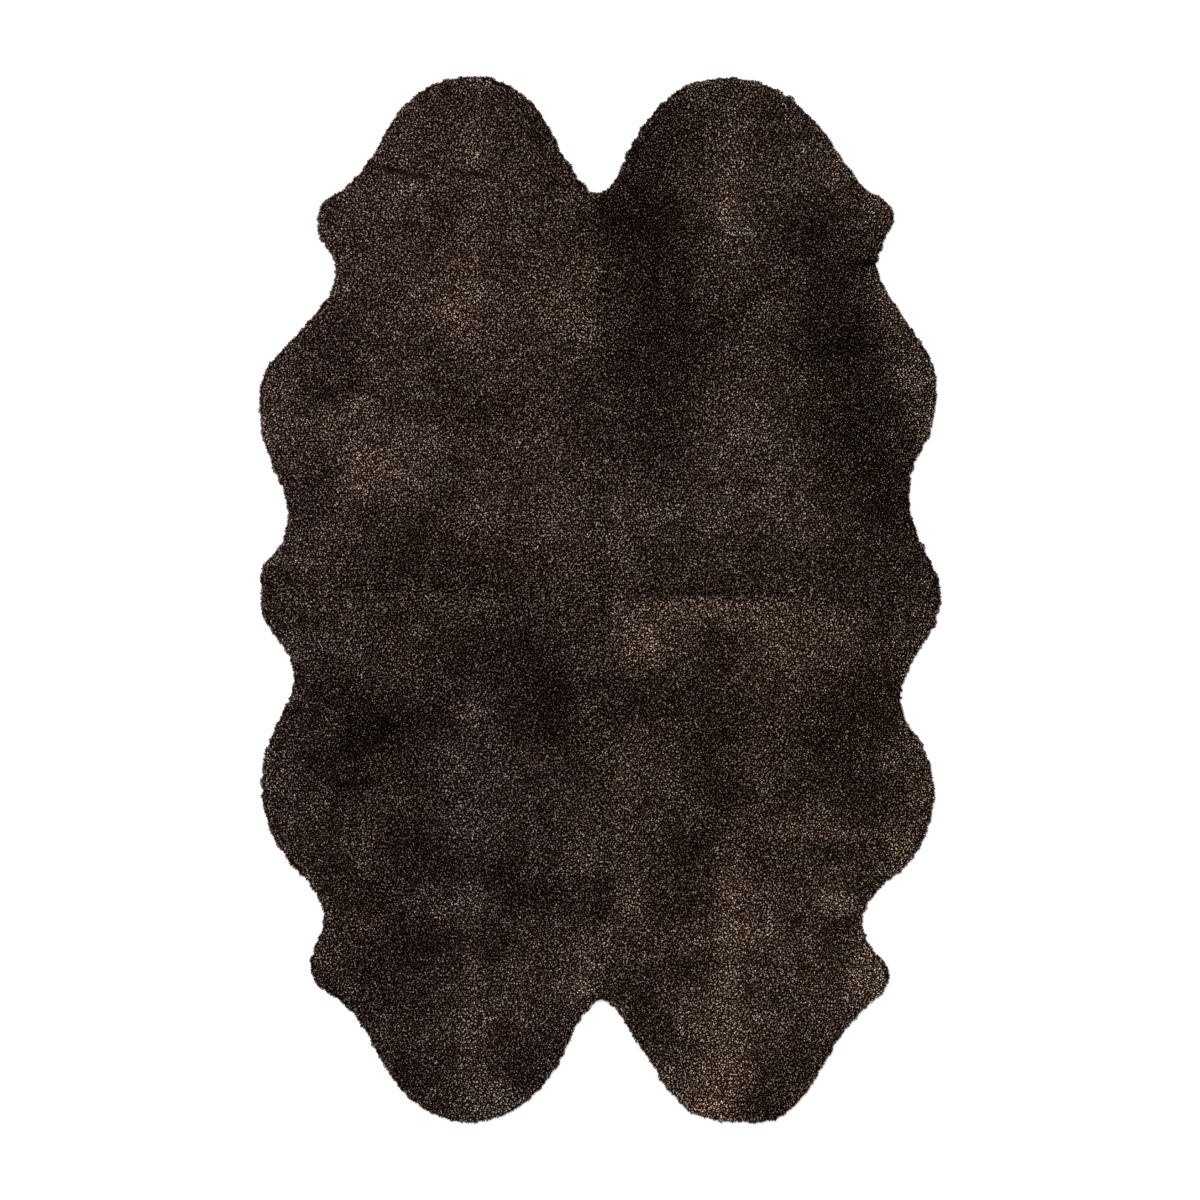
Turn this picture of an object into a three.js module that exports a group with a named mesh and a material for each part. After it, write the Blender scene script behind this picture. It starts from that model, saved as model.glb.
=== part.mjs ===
// Lambskin rug: four short-curled skins sewn edge to edge, lying flat with the wool up.
// Sizes are millimetres and +Z is up. The origin lies under the middle of the rug and +Y points
// to its top end.

import * as THREE from "three";
import { ConvexHull } from "three/addons/math/ConvexHull.js";
import { ImprovedNoise } from "three/addons/math/ImprovedNoise.js";

// Section of a skin: hide and wool together, rounded over at the free edge
const WOOL_TOP = 20;
const RIM_HEIGHT = 9;
const BROW_HEIGHT = 16;
const FOOT_INSET = 5;
const BROW_INSET = 8;
const ROUNDING_RUN_IN = 30;

// Seams: one runs up and down and bows a little to +X, the other runs across on a slight slant
// and bows a little to +Y
const TOP_NOTCH_Y = 699;
const BOTTOM_NOTCH_Y = -686;
const LEFT_END_X = -582;
const RIGHT_END_X = 584;
const LONG_SEAM_X = 10;
const LONG_SEAM_BOW = 12;
const LONG_SEAM_HALF = 692;
const CROSS_SEAM_Y = 9;
const CROSS_SEAM_SLANT = -0.011;
const CROSS_SEAM_BOW = 4;
const CROSS_SEAM_HALF = 583;
const SEAM_GAP = 0.3;
const SEAM_STEP = 24;
const SEAM_DIP = 4;
const SEAM_DIP_REACH = 14;

// Locks of wool along the free edge, each a blunt tuft between two clefts
const LOCKS_PER_SKIN = 74;
const LOCK_WIDTH_SPREAD = 0.45;
const LOCK_REACH_LEAST = 1.5;
const LOCK_REACH_MOST = 4.5;
const LOCK_PROFILE = [
  { along: 0, out: -0.6 },
  { along: 0.32, out: 1 },
  { along: 0.68, out: 0.8 },
];

// Lumps in the wool, the spacing of the points that carry them, and of those under the flat hide
const BROAD_LUMP = { across: 95, rise: 2.2 };
const SMALL_LUMP = { across: 40, rise: 2 };
const LUMP_STEP = 30;
const LUMP_JITTER = 6;
const LUMP_CLEARANCE = 15;
const HIDE_STEP = 110;
const HIDE_CLEARANCE = 55;
const CREASE_STEP = 20;
const LUMP_SEED = 41;
const BOWL_SPAN = 1000;

// Free edge of each skin, counter-clockwise seen from above, between the seam ends
const TOP_LEFT_EDGE = [
  { at: "notch lip", x: -24, y: 709 },
  { at: "neck, inner side", x: -69, y: 773 },
  { at: "neck, inner shoulder", x: -107, y: 840 },
  { at: "neck, inner crown", x: -150, y: 879 },
  { at: "neck crown", x: -215, y: 899 },
  { at: "neck, outer crown", x: -291, y: 884 },
  { at: "neck, outer shoulder", x: -346, y: 840 },
  { at: "neck, outer side", x: -391, y: 766 },
  { at: "foreleg root", x: -437, y: 708 },
  { at: "foreleg tip, upper", x: -479, y: 680 },
  { at: "foreleg tip, lower", x: -485, y: 635 },
  { at: "armpit, upper", x: -459, y: 583 },
  { at: "armpit, lower", x: -463, y: 531 },
  { at: "chest", x: -525, y: 452 },
  { at: "belly, upper", x: -573, y: 397 },
  { at: "belly", x: -585, y: 335 },
  { at: "belly, lower", x: -575, y: 262 },
  { at: "flank, upper", x: -539, y: 165 },
  { at: "flank, lower", x: -547, y: 100 },
  { at: "haunch", x: -581, y: 52 },
];
const BOTTOM_LEFT_EDGE = [
  { at: "haunch", x: -582, y: -23 },
  { at: "flank, upper", x: -534, y: -103 },
  { at: "flank, lower", x: -529, y: -150 },
  { at: "belly, upper", x: -575, y: -262 },
  { at: "belly", x: -581, y: -333 },
  { at: "belly, lower", x: -560, y: -410 },
  { at: "armpit, upper", x: -484, y: -512 },
  { at: "armpit, lower", x: -478, y: -560 },
  { at: "foreleg tip, upper", x: -497, y: -620 },
  { at: "foreleg tip, lower", x: -490, y: -656 },
  { at: "foreleg root", x: -449, y: -687 },
  { at: "neck, outer root", x: -413, y: -725 },
  { at: "neck, outer side", x: -368, y: -804 },
  { at: "neck, outer shoulder", x: -323, y: -861 },
  { at: "neck, outer crown", x: -258, y: -894 },
  { at: "neck, inner crown", x: -189, y: -892 },
  { at: "neck, inner shoulder", x: -119, y: -854 },
  { at: "neck, inner side", x: -69, y: -789 },
  { at: "notch lip", x: -38, y: -725 },
];
const BOTTOM_RIGHT_EDGE = [
  { at: "notch lip", x: 24, y: -702 },
  { at: "neck, inner side", x: 64, y: -758 },
  { at: "neck, inner shoulder", x: 119, y: -844 },
  { at: "neck, inner crown", x: 170, y: -886 },
  { at: "neck crown", x: 237, y: -899 },
  { at: "neck, outer crown", x: 303, y: -891 },
  { at: "neck, outer shoulder", x: 346, y: -854 },
  { at: "neck, outer side", x: 416, y: -746 },
  { at: "foreleg tip, lower", x: 488, y: -668 },
  { at: "foreleg tip, upper", x: 493, y: -641 },
  { at: "armpit, lower", x: 458, y: -586 },
  { at: "armpit", x: 450, y: -548 },
  { at: "armpit, upper", x: 466, y: -511 },
  { at: "chest", x: 537, y: -442 },
  { at: "belly, lower", x: 567, y: -380 },
  { at: "belly, upper", x: 571, y: -310 },
  { at: "flank, lower", x: 553, y: -250 },
  { at: "flank hollow, lower", x: 522, y: -203 },
  { at: "flank hollow", x: 516, y: -165 },
  { at: "flank, upper", x: 530, y: -118 },
  { at: "haunch", x: 576, y: -36 },
];
const TOP_RIGHT_EDGE = [
  { at: "haunch", x: 583, y: 30 },
  { at: "flank, lower", x: 541, y: 120 },
  { at: "flank hollow", x: 530, y: 181 },
  { at: "flank, upper", x: 537, y: 231 },
  { at: "belly, lower", x: 563, y: 280 },
  { at: "belly", x: 577, y: 348 },
  { at: "belly, upper", x: 568, y: 412 },
  { at: "chest", x: 516, y: 491 },
  { at: "armpit, lower", x: 479, y: 563 },
  { at: "armpit, upper", x: 485, y: 610 },
  { at: "foreleg tip, lower", x: 503, y: 662 },
  { at: "foreleg tip, upper", x: 487, y: 686 },
  { at: "foreleg root", x: 452, y: 710 },
  { at: "neck, outer side", x: 372, y: 818 },
  { at: "neck, outer crown", x: 310, y: 873 },
  { at: "neck crown", x: 224, y: 897 },
  { at: "neck, inner crown", x: 150, y: 884 },
  { at: "neck, inner shoulder", x: 92, y: 838 },
  { at: "neck, inner side", x: 57, y: 785 },
  { at: "notch lip", x: 26, y: 723 },
];

// Creases that the hides were packed with: soft troughs, each a straight run
const CREASES = [
  { at: "top left neck", x1: -392, y1: 751, x2: -190, y2: 718, depth: 2.5, reach: 16 },
  { at: "top right armpit", x1: 472, y1: 579, x2: 425, y2: 578, depth: 4, reach: 14 },
  { at: "top right shoulder, outer", x1: 425, y1: 578, x2: 241, y2: 498, depth: 3, reach: 22 },
  { at: "top right shoulder, inner", x1: 241, y1: 498, x2: 172, y2: 455, depth: 2, reach: 22 },
  { at: "bottom left belly", x1: -421, y1: -319, x2: -310, y2: -302, depth: 1.5, reach: 16 },
];

// The skins: mean wool colour, free edge, side of the seams, and where the free edge meets them
const SKINS = [
  {
    name: "skin_top_left", colour: 0x3b2d27, edge: TOP_LEFT_EDGE,
    sideX: -1, sideY: 1, endX: LEFT_END_X, notchY: TOP_NOTCH_Y, startsAtNotch: true,
  },
  {
    name: "skin_bottom_left", colour: 0x2d2523, edge: BOTTOM_LEFT_EDGE,
    sideX: -1, sideY: -1, endX: LEFT_END_X, notchY: BOTTOM_NOTCH_Y, startsAtNotch: false,
  },
  {
    name: "skin_bottom_right", colour: 0x382d27, edge: BOTTOM_RIGHT_EDGE,
    sideX: 1, sideY: -1, endX: RIGHT_END_X, notchY: BOTTOM_NOTCH_Y, startsAtNotch: true,
  },
  {
    name: "skin_top_right", colour: 0x332824, edge: TOP_RIGHT_EDGE,
    sideX: 1, sideY: 1, endX: RIGHT_END_X, notchY: TOP_NOTCH_Y, startsAtNotch: false,
  },
];
const WOOL_ROUGHNESS = 0.95;

const noise = new ImprovedNoise();
const random = THREE.MathUtils.seededRandom;

// Where the seams run
function longSeamX(y) {
  return LONG_SEAM_X - LONG_SEAM_BOW * (y / LONG_SEAM_HALF) ** 2;
}

function crossSeamY(x) {
  return CROSS_SEAM_Y + CROSS_SEAM_SLANT * x - CROSS_SEAM_BOW * (x / CROSS_SEAM_HALF) ** 2;
}

const JUNCTION = new THREE.Vector2(LONG_SEAM_X, crossSeamY(LONG_SEAM_X));

// A soft trough: 1 on its line, fading to 0 at its reach
function trough(distance, reach) {
  return 1 - THREE.MathUtils.smoothstep(distance, 0, reach);
}

function distanceToCrease(x, y, crease) {
  const start = new THREE.Vector3(crease.x1, crease.y1, 0);
  const end = new THREE.Vector3(crease.x2, crease.y2, 0);
  const place = new THREE.Vector3(x, y, 0);
  const nearest = new THREE.Line3(start, end).closestPointToPoint(place, true, new THREE.Vector3());
  return nearest.distanceTo(place);
}

// Top of the wool at a place: lumps, dips along the seams and troughs at the creases
function woolHeight(x, y) {
  const broad = BROAD_LUMP.rise * noise.noise(x / BROAD_LUMP.across, y / BROAD_LUMP.across, 0);
  const small = SMALL_LUMP.rise * noise.noise(x / SMALL_LUMP.across, y / SMALL_LUMP.across, LUMP_SEED);
  const seamDistance = Math.min(Math.abs(x - longSeamX(y)), Math.abs(y - crossSeamY(x)));
  let height = WOOL_TOP + broad + small - SEAM_DIP * trough(seamDistance, SEAM_DIP_REACH);
  for (const crease of CREASES) {
    height -= crease.depth * trough(distanceToCrease(x, y, crease), crease.reach);
  }
  return height;
}

// Samples along a free edge: the clefts and cheeks of its locks, with the way out of the skin
function edgeSamples(skin) {
  const notch = { x: longSeamX(skin.notchY) + skin.sideX * SEAM_GAP / 2, y: skin.notchY };
  const end = { x: skin.endX, y: crossSeamY(skin.endX) + skin.sideY * SEAM_GAP / 2 };
  const rows = skin.startsAtNotch ? [notch, ...skin.edge, end] : [end, ...skin.edge, notch];
  const path = rows.map(({ x, y }) => new THREE.Vector3(x, y, 0));
  const curve = new THREE.CatmullRomCurve3(path, false, "centripetal");
  const length = curve.getLength();

  const widths = Array.from({ length: LOCKS_PER_SKIN }, () => 1 + LOCK_WIDTH_SPREAD * (2 * random() - 1));
  const allWidths = widths.reduce((sum, width) => sum + width, 0);
  const samples = [];
  let along = 0;
  for (const width of widths) {
    const reach = THREE.MathUtils.lerp(LOCK_REACH_LEAST, LOCK_REACH_MOST, random());
    for (const place of LOCK_PROFILE) {
      const share = (along + place.along * width) / allWidths;
      const point = curve.getPointAt(share);
      const way = curve.getTangentAt(share);
      const fromEnd = Math.min(share, 1 - share) * length;
      const rounding = THREE.MathUtils.smoothstep(fromEnd, 0, ROUNDING_RUN_IN);
      const out = new THREE.Vector2(way.y, -way.x);
      samples.push({ x: point.x, y: point.y, out, rounding, lock: rounding * reach * place.out });
    }
    along += width;
  }
  return samples;
}

// Samples along the two seams that close a skin's outline, from one end of its free edge to the other
function seamSamples(skin) {
  const shiftX = skin.sideX * SEAM_GAP / 2;
  const shiftY = skin.sideY * SEAM_GAP / 2;
  const sample = (x, y) => ({ x, y, out: new THREE.Vector2(), rounding: 0, lock: 0 });
  const cross = [];
  const crossSteps = Math.round(Math.abs(skin.endX - JUNCTION.x) / SEAM_STEP);
  for (let step = 0; step < crossSteps; step++) {
    const x = THREE.MathUtils.lerp(skin.endX, JUNCTION.x, step / crossSteps);
    cross.push(sample(x, crossSeamY(x) + shiftY));
  }
  const long = [];
  const longSteps = Math.round(Math.abs(skin.notchY - JUNCTION.y) / SEAM_STEP);
  for (let step = 0; step < longSteps; step++) {
    const y = THREE.MathUtils.lerp(skin.notchY, JUNCTION.y, step / longSteps);
    long.push(sample(longSeamX(y) + shiftX, y));
  }
  const corner = sample(JUNCTION.x + shiftX, JUNCTION.y + shiftY);
  const [first, second] = skin.startsAtNotch ? [cross, long] : [long, cross];
  return [...first, corner, ...second.slice(1).reverse()];
}

// A ring of points at one level of the section, drawn in or let out along each sample's way out
function ring(samples, offset, height) {
  return samples.map((sample) => {
    const shift = offset(sample);
    const x = sample.x + sample.out.x * shift;
    const y = sample.y + sample.out.y * shift;
    return new THREE.Vector3(x, y, height(sample, x, y));
  });
}

function isInside(x, y, outline) {
  let inside = false;
  outline.forEach((a, i) => {
    const b = outline[(i + 1) % outline.length];
    const straddles = a.y > y !== b.y > y;
    if (straddles && x < a.x + (b.x - a.x) * (y - a.y) / (b.y - a.y)) inside = !inside;
  });
  return inside;
}

// Points that carry the lumps: along the creases first, then uneven rows over the rest of the skin
function innerPoints(outline, step, jitter, clearance, height, lines) {
  const points = [];
  const isClear = (x, y, others, gap) => others.every((other) => Math.hypot(other.x - x, other.y - y) >= gap);
  const add = (x, y, gap) => {
    if (!isInside(x, y, outline)) return;
    if (!isClear(x, y, outline, clearance) || !isClear(x, y, points, gap)) return;
    points.push(new THREE.Vector3(x, y, height(x, y)));
  };
  for (const line of lines) {
    const length = Math.hypot(line.x2 - line.x1, line.y2 - line.y1);
    for (let along = 0; along <= length; along += CREASE_STEP) {
      const x = THREE.MathUtils.lerp(line.x1, line.x2, along / length);
      const y = THREE.MathUtils.lerp(line.y1, line.y2, along / length);
      add(x, y, CREASE_STEP / 2);
    }
  }
  const box = new THREE.Box3().setFromPoints(outline);
  const rowStep = step * Math.sqrt(3) / 2;
  let isOddRow = false;
  for (let y = box.min.y; y < box.max.y; y += rowStep) {
    for (let x = box.min.x + (isOddRow ? step / 2 : 0); x < box.max.x; x += step) {
      add(x + jitter * (2 * random() - 1), y + jitter * (2 * random() - 1), step / 2);
    }
    isOddRow = !isOddRow;
  }
  return points;
}

// Triangles over a ring and the points inside it: the lower hull of the points lifted onto a bowl
function triangles(outline, inner) {
  const points = [...outline, ...inner];
  const lifted = points.map(({ x, y }) => new THREE.Vector3(x, y, (x * x + y * y) / BOWL_SPAN));
  const indexOf = new Map(lifted.map((point, index) => [point, index]));
  const faces = [];
  for (const face of new ConvexHull().setFromPoints(lifted).faces) {
    if (face.normal.z >= 0) continue;
    const corners = [2, 1, 0].map((corner) => indexOf.get(face.getEdge(corner).head().point));
    const x = corners.reduce((sum, corner) => sum + points[corner].x, 0) / corners.length;
    const y = corners.reduce((sum, corner) => sum + points[corner].y, 0) / corners.length;
    if (isInside(x, y, outline)) faces.push(corners);
  }
  return faces;
}

// One skin: flat hide below, rim of locks, rounded brow and lumpy wool above
function skinGeometry(skin) {
  const samples = [...edgeSamples(skin), ...seamSamples(skin)];
  const browHeight = (sample, x, y) => woolHeight(x, y) - sample.rounding * (WOOL_TOP - BROW_HEIGHT);
  const foot = ring(samples, (sample) => -FOOT_INSET * sample.rounding, () => 0);
  const rim = ring(samples, (sample) => sample.lock, () => RIM_HEIGHT);
  const brow = ring(samples, (sample) => sample.lock / 2 - BROW_INSET * sample.rounding, browHeight);
  const under = innerPoints(foot, HIDE_STEP, 0, HIDE_CLEARANCE, () => 0, []);
  const wool = innerPoints(brow, LUMP_STEP, LUMP_JITTER, LUMP_CLEARANCE, woolHeight, CREASES);

  const count = samples.length;
  const rimStart = count + under.length;
  const browStart = rimStart + count;
  const index = [];
  for (const [a, b, c] of triangles(foot, under)) index.push(a, c, b);
  for (let i = 0; i < count; i++) {
    const j = (i + 1) % count;
    index.push(i, j, rimStart + j, i, rimStart + j, rimStart + i);
    index.push(rimStart + i, rimStart + j, browStart + j, rimStart + i, browStart + j, browStart + i);
  }
  for (const [a, b, c] of triangles(brow, wool)) index.push(browStart + a, browStart + b, browStart + c);

  const geometry = new THREE.BufferGeometry();
  geometry.setFromPoints([...foot, ...under, ...rim, ...brow, ...wool]);
  geometry.setIndex(index);
  geometry.computeVertexNormals();
  return geometry;
}

random(LUMP_SEED);
const rug = new THREE.Group();
for (const skin of SKINS) {
  const look = { color: skin.colour, roughness: WOOL_ROUGHNESS, metalness: 0 };
  const mesh = new THREE.Mesh(skinGeometry(skin), new THREE.MeshStandardMaterial(look));
  mesh.name = skin.name;
  rug.add(mesh);
}

export default rug;
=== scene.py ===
"""Lambskin rug: short wool curls over four sewn skins, suede hides under them, and a pale studio.

Metres, +Z up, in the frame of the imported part. The camera looks straight down, with +Y up in the picture.
"""

import math

import bmesh
import bpy
import numpy as np
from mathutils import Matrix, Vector, noise
from mathutils.bvhtree import BVHTree
from mathutils.kdtree import KDTree


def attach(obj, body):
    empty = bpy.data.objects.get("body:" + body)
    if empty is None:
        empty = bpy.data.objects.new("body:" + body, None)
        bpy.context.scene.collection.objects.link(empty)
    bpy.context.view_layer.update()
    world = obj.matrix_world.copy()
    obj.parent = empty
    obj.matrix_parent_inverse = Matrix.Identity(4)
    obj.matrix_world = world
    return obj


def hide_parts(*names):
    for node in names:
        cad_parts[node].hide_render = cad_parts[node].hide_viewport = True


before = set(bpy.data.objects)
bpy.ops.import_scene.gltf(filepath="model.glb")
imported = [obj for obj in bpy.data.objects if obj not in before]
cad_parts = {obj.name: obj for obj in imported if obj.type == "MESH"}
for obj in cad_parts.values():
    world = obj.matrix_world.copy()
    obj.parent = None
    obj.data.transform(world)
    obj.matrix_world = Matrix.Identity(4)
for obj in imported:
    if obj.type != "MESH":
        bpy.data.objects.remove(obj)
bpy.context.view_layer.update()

MM = 0.001
SEED = 29
TOUCHING = 0.01 * MM
FACING_DOWN = -0.999
TINY = 1e-9
HIGH_ABOVE = 1.0

# Picture: the frame is square and shows this much of the rug's plane
PICTURE_PIXELS = 1200
MM_PER_PIXEL = 1.72
CAMERA_HEIGHT = 6.0
CAMERA_ACROSS = -0.6 * MM
SENSOR_WIDTH = 36.0

# Studio: a wide floor, even light from all round and one large lamp high over the rug
FLOOR_HALF = 30.0
DOME_STRENGTH = 0.85
KEY_SIZE = 3.5
KEY_POWER = 240
KEY_PLACE = (-0.6, 1.0, 5.6)

# Section of the solids that the wool and hide are built on, and the steps that their edges are read in
RIM_HEIGHT = 9 * MM
BROW_FLOOR = 9.9 * MM
HIDE_THICKNESS = 2 * MM
HIDE_CLEARANCE = 0.1 * MM
UNDERWOOL_DEPTH = 4.5 * MM
UNDERWOOL_RIM_DEPTH = 1.5 * MM
LOOP_STEP = 0.5 * MM
SEAM_REACH = 1 * MM

# Curls: a root below the wool's top, a ridge at it and a tip that bends over
CURL_PITCH = 4.25 * MM
CURL_JITTER = 0.38
CURL_RADIUS = 1.5 * MM
CURL_SIZE_SPREAD = 0.35
CURL_DEPTH = 7 * MM
CURL_SINK = 1.2 * MM
CURL_LIFT = 1.1 * MM
CURL_REACH = 1.9
CURL_BEND = 0.9
CURL_DROOP = 1.1
EDGE_INSET = 0.8 * MM
EDGE_COMB = 1.6
EDGE_COMB_REACH = 22 * MM
EDGE_SHADE = 0.15
EDGE_SHADE_REACH = 6 * MM

# The wool closes over the seams: curls there stand higher, right up to the sewn edge, and the skins'
# tones draw near each other
SEAM_INSET = 0.4 * MM
SEAM_FILL = 3.3 * MM
SEAM_FILL_REACH = 14 * MM
SEAM_CURL_PITCH = 2.5 * MM
SEAM_CURL_INSET = (0.3 * MM, 1.3 * MM)
SEAM_CURL_SINK = 1.6 * MM
# Curls on the seam sit sunk in its parting and are painted near-black: painted shade along the seam
SEAM_CURL_LIGHT = 0.05
SEAM_MIX_REACH = 80 * MM
SEAM_MIX = {"tone": 0.95, "warmth": 0.05, "pink": 0.0}

# Curls down the free edge, on an outline with the solids' locks evened out and tufts of its own
RIM_CURL_PITCH = 2.8 * MM
RIM_EVENING_REACH = 7 * MM
RIM_EVENING_RUN_IN = 40 * MM
RIM_UNEVENNESS = 0.5 * MM
RIM_TUFT = 4.5 * MM
RIM_TUFT_RUN = 12 * MM
RIM_TUFT_LEVEL = 0.25
RIM_WAVER = 1.5 * MM
RIM_WAVER_RUN = 22 * MM
# Each row's light is painted shade: rows lower down the edge, facing out and down, are painted darker, and
# the top rows paler
RIM_ROWS = [
    {"height": 3.4 * MM, "inset": 1.4 * MM, "up": -0.2, "light": 0.07},
    {"height": 6.4 * MM, "inset": -0.4 * MM, "up": 0.0, "light": 0.18},
    {"height": 9.6 * MM, "inset": -0.7 * MM, "up": 0.25, "light": 0.4},
    {"height": 9.0 * MM, "inset": 2.5 * MM, "up": 0.8, "light": 0.55},
]

# Places where the wool's edge lies in from or out of the solid's edge: x, y, reach and pull in millimetres
EDGE_PULLS = [
    ("left flank", -555, 162, 50, 2.0, 0.0),
    ("left flank, lower", -542, -109, 38, 2.8, 0.0),
    ("left fore armpit", -469, 561, 34, 1.6, 0.0),
    ("left hind armpit", -481, -550, 26, 2.2, 0.0),
    ("left hind leg", -529, -457, 12, -2.6, -2.0),
    ("top left neck", -382, 785, 34, 1.2, -1.5),
    ("top left crown", -175, 892, 18, 0.0, 2.0),
    ("top notch", 0, 724, 26, 0.0, -3.5),
    ("bottom notch", 0, -701, 26, 0.0, 4.0),
    ("bottom left rump", -302, -872, 32, 0.5, 2.0),
    ("bottom right rump, inner", 96, -811, 30, 2.0, 1.5),
    ("bottom right rump", 240, -897, 36, 0.0, 2.0),
    ("bottom right rump, outer", 446, -715, 26, -3.2, 2.5),
    ("right hind leg", 488, -632, 20, 3.4, 0.0),
    ("right fore armpit", 482, 581, 28, -3.6, 0.0),
    ("right foreleg", 501, 671, 12, 1.8, 1.0),
]

# Share of full brightness at each place of a curl, how far curls stray from their neighbours, and the
# brightest and the most tinted wool that the material shows. The shares are partly the wool's own darker
# roots and paler tips, and partly painted light: a painted highlight on each curl's top ridge and painted
# shade on its lower cheeks, drooping tip and root, where light from above would fall on a curl.
ROOT_LIGHT = 0.0
RIDGE_LIGHT = 1.0
CHEEK_LIGHT = 0.36
TIP_LIGHT = 0.55
CURL_TONE_SPREAD = 0.58
CURL_WARMTH_SPREAD = 0.9
CURL_PINK_SPREAD = 0.9
BRIGHTEST = 2.4
HUE_RANGE = 2.5

# Uneven growth of the wool: size of the clumps, and how far tone, warmth, pinkness and height stray
CLUMPS = [
    {"across": 60 * MM, "tone": 0.25, "warmth": 0.5, "pink": 1.2, "lift": 0.4 * MM},
    {"across": 26 * MM, "tone": 0.38, "warmth": 0.5, "pink": 1.2, "lift": 0.5 * MM},
    {"across": 11 * MM, "tone": 0.38, "warmth": 0.5, "pink": 1.0, "lift": 0.7 * MM},
]

# Noise is read in a level of its own for each use: the first level for each, and how far apart levels lie
WARMTH_CHANNEL = 10
PINK_CHANNEL = 15
CREASE_CHANNELS = (20, 21)
TUFT_CHANNEL = 30
WAVER_CHANNEL = 31
CHANNEL_STEP = 7.3

# How strongly the patches below show and the most they add up to, how much warmer paler wool is,
# and what share of its tone also greys the ridges
PATCH_TONE = 1.4
PATCH_LIMIT = 1.05
TONE_WARMTH = 0.2
TONE_GREYING = 0.4
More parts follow.
